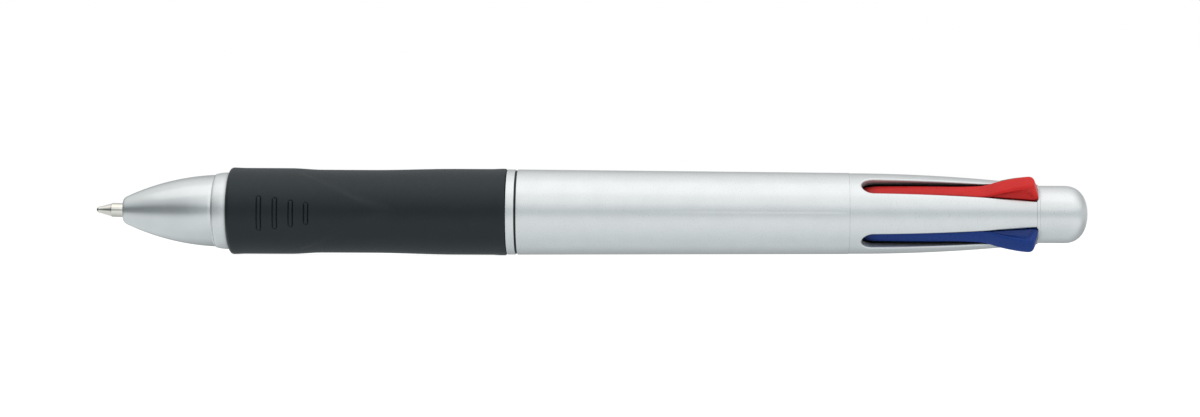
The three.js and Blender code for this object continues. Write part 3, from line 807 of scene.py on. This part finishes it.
def slider(colour):
    """A stem in the slot, a lofted thumb bump on its rear end, and a plug that holds the refill."""
    front, rear, stem_end, barrel_end = 103.65, 137.05, 136.75, 108.9
    depth = lambda s: 1.15 - 0.65 * (s - 112.5) / 15.8  # of the stem's top below the housing's surface
    stem = [(s, housing_radius(s, barrel_end) - depth(s)) for s in np.arange(112.5, 127, 1.0)]
    top_at = softened([(front, 4.15), (109, 4.15), (111, 4.6), *stem, *BUMP], 0.3)
    corner = 0.95  # radius of the bump's rear corners, seen from outside
    overhang = 4.53  # radius from which the bump reaches over the cap's flange
    stations = [front, front + 0.03, front + 0.09, *np.arange(front + 0.2, 126, 0.9)]
    stations += [*np.arange(126, rear - corner, 0.16)]
    stations += [*(rear - corner * (1 - np.cos(np.linspace(math.pi / 2, 0, 22))))]
    rows = []
    for station in stations:
        wide = 1.05 + 0.25 * float(ease(124, 129.5, station))
        edge = 0.22 + 0.12 * float(ease(127.5, 130.5, station)) + 0.1 * float(ease(131, 136, station))
        end = rear - station
        side_in = corner - math.sqrt(max(corner**2 - max(corner - end, 0) ** 2, 0))
        top_in = 0.4 - math.sqrt(max(0.16 - max(0.4 - end, 0) ** 2, 0))
        begin = 0.12 - math.sqrt(0.0144 - max(0.12 - (station - front), 0) ** 2)
        high = float(top_at(station)) - top_in - begin
        wide = wide - begin
        edge = min(edge, wide - 0.02)
        section = rounded_section(wide, 2.45 + begin, high, 0.15, edge, crown=0.07)
        level = min(overhang, high - edge - 0.05)
        heights = [level - 0.01, *np.linspace(level + 0.01, high - edge - 0.02, 9)]
        right = [(height, wide) for height in heights]
        left = [(height, -wide) for height in heights[::-1]]
        quarter = 7  # points in a rounded corner
        parts = [section[:quarter], right, section[quarter:-quarter], left, section[-quarter:]]
        section = np.concatenate(parts)
        # the bump narrows towards its rear corners, and its sides are hollow above the housing
        section[:, 1] *= 1 - side_in / wide * ease(4.7, 6.3, section[:, 0])
        skin = housing_radius(station, barrel_end)
        rise = np.clip((section[:, 0] - skin + 0.1) / max(high - edge + 0.1 - skin, 0.1), 0, 1)
        hollow = 0.24 * np.sin(math.pi * rise) * float(ease(129, 133, station) * ease(0.5, 1.4, end))
        section[:, 1] -= np.sign(section[:, 1]) * np.where(high - edge > skin, hollow, 0)
        lean = 0.3 * np.clip(section[:, 0] - overhang, 0, None) * float(ease(130, 135, station))
        place = np.where(section[:, 0] < overhang, min(station, stem_end), station - lean)
        rows.append(np.column_stack([place, section]))
    shell = Shell()
    shell.grid(rows, wrap_columns=True)
    shell.polygon(rows[0])
    # the rear end: the stem's face, the bump's face, and the ledge between them
    last = rows[-1]
    above = np.flatnonzero(last[:, 1] > overhang)
    shell.polygon(np.delete(last, above, axis=0))
    shell.polygon(last[above])
    shell.polygon([last[above[0] - 1], last[above[0]], last[above[-1]], last[above[-1] + 1]])
    seat = 103
    plug = [(seat - 2.5, 0), (seat - 2.5, 0.62, 0.2), (seat + 0.05, 0.62), (seat + 0.05, 1.7, 0.12),
            (seat + 1.3, 1.7, 0.12), (seat + 1.3, 0)]
    shell.lathe(rounded(plug, loop=False), circle(40), centre=3.0, loop=False)
    node, place = f"{colour}_slider", slider_placing(colour)
    piece(f"{node}_lever", shell, f"{colour}_plastic", [node], place, sharp=50)


def refill(colour):
    place = refill_placing(colour)
    tube = Shell()
    tube_start = 10.05
    outline = [(tube_start, 1.2, 0.12), (REFILL_LENGTH, 1.2, 0.1)]
    outline += [(REFILL_LENGTH, 0.8, 0.08), (tube_start, 0.8, 0.08)]
    tube.lathe(rounded(outline), circle(40))
    piece(f"{colour}_refill_tube_body", tube, "tube_plastic", [f"{colour}_refill_tube"], place)

    point = Shell()
    outside = [
        (0.24, 0.37, 0.03),
        (0.26, 0.42, 0.04),
        (0.6, 0.48, 0.05),
        (2.2, 0.93, 0.05),
        (2.23, 0.96, 0.04),
        (2.3, 1.03, 0.05),
        (9, 1.05),
        (9.02, 1.15, 0.05),
        (10, 1.15, 0.05),
        (10, 0.72),
        (14, 0.72, 0.1),
    ]
    bore = [(14, 0.2), (0.96, 0.2), (0.6, 0.37)]
    point.lathe(rounded(outside + bore, steps=4), circle(64))
    piece(f"{colour}_refill_point_tip", point, "point_metal", [f"{colour}_refill_point"], place)

    ball = Shell()
    arc = np.linspace(0, math.pi, 17)
    ball.lathe([(BALL_CENTRE - 0.34 * math.cos(a), 0.34 * math.sin(a)) for a in arc], circle(32), loop=False)
    piece(f"{colour}_point_ball", ball, "ball_metal", [f"{colour}_writing_ball"], place)

    column = Shell()
    end = 14.3 + INK_LENGTHS[colour]
    outline = [(14.3, 0), (14.3, 0.7, 0.2), (end - 0.2, 0.7, 0.05)]
    outline += [(end, 0.62, 0.05), (end - 0.25, 0.3, 0.1), (end - 0.3, 0)]
    column.lathe(rounded(outline, loop=False), circle(32), loop=False)
    piece(f"{colour}_ink_fill", column, f"{colour}_ink", [f"{colour}_ink_column"], place)


def return_spring(colour):
    """A helix whose end turns lie close together. It stretches between the guide and the slider."""
    wire, radius, turns, sides = 0.13, 1.58, 9, 10
    place = refill_placing(colour)
    low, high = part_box(f"{colour}_return_spring")
    back = place.inverted()
    reach = [back @ Vector((x, (low.y + high.y) / 2, (low.z + high.z) / 2)) for x in (low.x, high.x)]
    start, end = reach[0].x + wire, reach[1].x - wire
    t = np.linspace(0, 1, turns * 32 + 1)
    turn = t * turns
    pitch = (end - start - 4 * wire) / (turns - 2)
    station = start + 2 * wire * np.minimum(turn, 1) + pitch * np.clip(turn - 1, 0, turns - 2)
    station = station + 2 * wire * np.clip(turn - (turns - 1), 0, 1)
    rows = []
    for i in range(sides):
        round_wire = 2 * math.pi * i / sides
        out = radius + wire * math.cos(round_wire)
        angle = turn * 2 * math.pi
        along = station + wire * math.sin(round_wire)
        rows.append(np.stack([along, out * np.cos(angle), out * np.sin(angle)], axis=-1))
    shell = Shell()
    shell.grid(rows, wrap_rows=True)
    for tip in (0, -1):
        shell.polygon([row[tip] for row in rows])
    nodes = [f"{colour}_return_spring"]
    spring = piece(f"{colour}_spring_coil", shell, "spring_steel", nodes, place, sharp=60, ride=False)
    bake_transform(spring)


nose_cone()
lower_barrel()
grip_sleeve()
seam_washer()
upper_barrel()
rear_housing()
end_cap()
latch_core()
refill_guide()
for colour in COLOURS:
    slider(colour)
    refill(colour)
    return_spring(colour)


# ---------------------------------------------------------------- floor, light and camera

def floor():
    """A round pale floor under the pen. Only the camera sees it, so it doesn't light the pen from below."""
    mesh = bpy.data.meshes.new("floor")
    work = bmesh.new()
    bmesh.ops.create_circle(work, cap_ends=True, radius=1.6, segments=96)
    work.to_mesh(mesh)
    work.free()
    disc = bpy.data.objects.new("floor", mesh)
    disc.location = ((cad_box[0].x + cad_box[1].x) / 2, 0, cad_box[0].z - 0.00005)
    disc.visible_shadow = False
    bpy.context.scene.collection.objects.link(disc)
    material = bpy.data.materials.new("floor")
    material.use_nodes = True
    nodes, links = material.node_tree.nodes, material.node_tree.links
    nodes.clear()
    glow = nodes.new("ShaderNodeEmission")
    glow.inputs["Strength"].default_value = 0.9
    matt = nodes.new("ShaderNodeBsdfDiffuse")
    matt.inputs["Color"].default_value = (0.3, 0.3, 0.3, 1)
    both = nodes.new("ShaderNodeAddShader")
    clear = nodes.new("ShaderNodeBsdfTransparent")
    path = nodes.new("ShaderNodeLightPath")
    mix = nodes.new("ShaderNodeMixShader")
    out = nodes.new("ShaderNodeOutputMaterial")
    links.new(glow.outputs[0], both.inputs[0])
    links.new(matt.outputs[0], both.inputs[1])
    links.new(path.outputs["Is Camera Ray"], mix.inputs[0])
    links.new(clear.outputs[0], mix.inputs[1])
    links.new(both.outputs[0], mix.inputs[2])
    links.new(mix.outputs[0], out.inputs["Surface"])
    mesh.materials.append(material)


# The studio's brightness and redness by the sine of the elevation: a dark band near the horizon under a
# bright tent. One list is for the camera's side, one for the nose end, and one for behind the pen.
SKY = (
    ((-1, 0.66, 0.94), (-0.85, 0.8, 0.95), (-0.5, 0.93, 0.97), (-0.25, 0.93, 0.97), (-0.1, 0.58, 0.92),
     (0.215, 0.52, 0.9), (0.24, 0.96, 0.96), (0.6, 1.1, 0.99), (0.9, 1.1, 1), (1, 1.06, 1)),
    ((-1, 0.66, 0.94), (-0.85, 0.78, 0.95), (-0.5, 0.8, 0.97), (-0.3, 0.64, 0.95), (-0.12, 0.2, 0.88),
     (0.2, 0.12, 0.87), (0.42, 0.52, 0.93), (0.7, 0.8, 0.98), (0.9, 0.92, 1), (1, 1.0, 1)),
    ((-1, 0.66, 0.94), (-0.85, 0.46, 0.93), (-0.5, 0.32, 0.95), (-0.25, 0.34, 0.97), (-0.1, 0.5, 0.98),
     (0.1, 0.6, 0.98), (0.3, 0.36, 0.97), (0.6, 0.5, 0.98), (0.9, 0.85, 1), (1, 1.06, 1)),
)


def studio():
    world = bpy.data.worlds.new("studio")
    bpy.context.scene.world = world
    world.use_nodes = True
    nodes, links = world.node_tree.nodes, world.node_tree.links
    nodes.clear()
    place = nodes.new("ShaderNodeTexCoord")
    split = nodes.new("ShaderNodeSeparateXYZ")
    links.new(place.outputs["Generated"], split.inputs[0])

    def ranged(value, low, high, smooth=True):
        made = nodes.new("ShaderNodeMapRange")
        made.interpolation_type = "SMOOTHSTEP" if smooth else "LINEAR"
        made.inputs["From Min"].default_value, made.inputs["From Max"].default_value = low, high
        links.new(value, made.inputs["Value"])
        return made.outputs["Result"]

    def mixed(factor, first, second=None):
        """Without a second colour, that one is white."""
        mix = nodes.new("ShaderNodeMix")
        mix.data_type = "RGBA"
        ends = [s for s in mix.inputs if s.type == "RGBA"]
        links.new(factor, mix.inputs["Factor"])
        links.new(first, ends[0])
        if second is None:
            ends[1].default_value = (1, 1, 1, 1)
        else:
            links.new(second, ends[1])
        return next(s for s in mix.outputs if s.type == "RGBA")

    height = ranged(split.outputs["Z"], -1, 1, smooth=False)
    brightest = max(level for levels in SKY for _, level, _ in levels)
    ramps = []
    for levels in SKY:
        ramp = nodes.new("ShaderNodeValToRGB")
        stops = ramp.color_ramp.elements
        while len(stops) < len(levels):
            stops.new(0.5)
        for stop, (sine, level, red) in zip(stops, levels):
            level /= brightest
            stop.position = (sine + 1) / 2
            stop.color = (level * red, level, level * (1 + 0.2 * (1 - red)), 1)
        links.new(height, ramp.inputs["Fac"])
        ramps.append(ramp.outputs["Color"])
    front, nose_end, behind = ramps
    sky = mixed(ranged(split.outputs["Y"], -0.25, 0.55), front, behind)
    sky = mixed(ranged(split.outputs["X"], -0.14, -0.5), sky, nose_end)
    scale = nodes.new("ShaderNodeVectorMath")
    scale.operation = "SCALE"
    scale.inputs["Scale"].default_value = brightest
    links.new(sky, scale.inputs[0])
    path = nodes.new("ShaderNodeLightPath")
    background = nodes.new("ShaderNodeBackground")
    links.new(mixed(path.outputs["Is Camera Ray"], scale.outputs["Vector"]), background.inputs["Color"])
    out = nodes.new("ShaderNodeOutputWorld")
    links.new(background.outputs[0], out.inputs["Surface"])


def softbox():
    """A long soft light above the pen, a little on the camera's side."""
    middle = Vector(((cad_box[0].x + cad_box[1].x) / 2, 0, 0))
    data = bpy.data.lights.new("softbox", "AREA")
    data.shape = "RECTANGLE"
    data.size, data.size_y = 1.0, 0.4
    data.energy = 0.3
    light = bpy.data.objects.new("softbox", data)
    light.location = middle + Vector((0, -0.16, 0.5))
    light.rotation_euler = (middle - light.location).to_track_quat("-Z", "Y").to_euler()
    bpy.context.scene.collection.objects.link(light)


def camera():
    """Level with the pen and square to it. The lens is shifted, as the pen isn't in the view's middle."""
    data = bpy.data.cameras.new("camera")
    data.lens = 93.3
    data.shift_x = -0.0959
    data.clip_start, data.clip_end = 0.01, 10
    eye = bpy.data.objects.new("camera", data)
    eye.location = NOSE + Vector((88.9, -467, 0.67)) * MM
    eye.rotation_euler = (math.pi / 2, math.radians(-0.263), 0)
    bpy.context.scene.collection.objects.link(eye)
    bpy.context.scene.camera = eye


floor()
studio()
softbox()
camera()
bpy.context.scene.view_settings.view_transform = "Standard"
